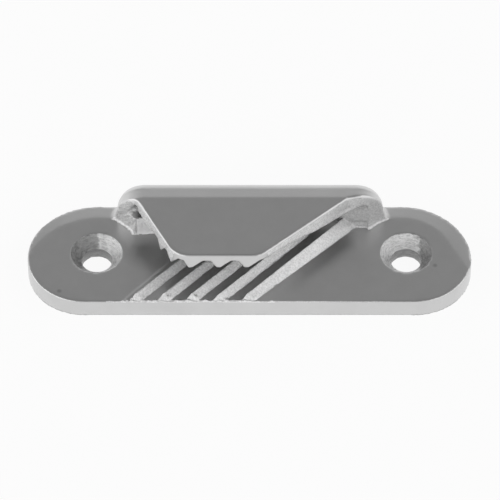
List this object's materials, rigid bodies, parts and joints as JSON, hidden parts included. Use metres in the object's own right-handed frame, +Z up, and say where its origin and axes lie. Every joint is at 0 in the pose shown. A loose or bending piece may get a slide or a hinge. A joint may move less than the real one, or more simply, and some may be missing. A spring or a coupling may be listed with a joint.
{
  "type": "jam cleat",
  "caption": "Side-entry jam cleat for light line: a screw-down base plate and a hood that overhangs it, with diagonal teeth on both jaws.",
  "frame": {"origin": "centre of the bounding box on the underside, which rests on the deck", "axes": "+X along the base plate, +Y from the open jaw to the rear wall, +Z up from the deck"},
  "size_m": [0.0644, 0.0186, 0.0102],
  "materials": {
    "casting": "as cast and tumbled, matte light grey"
  },
  "bodies": {
    "root": {"cleat_body": "casting"}
  },
  "joints": []
}
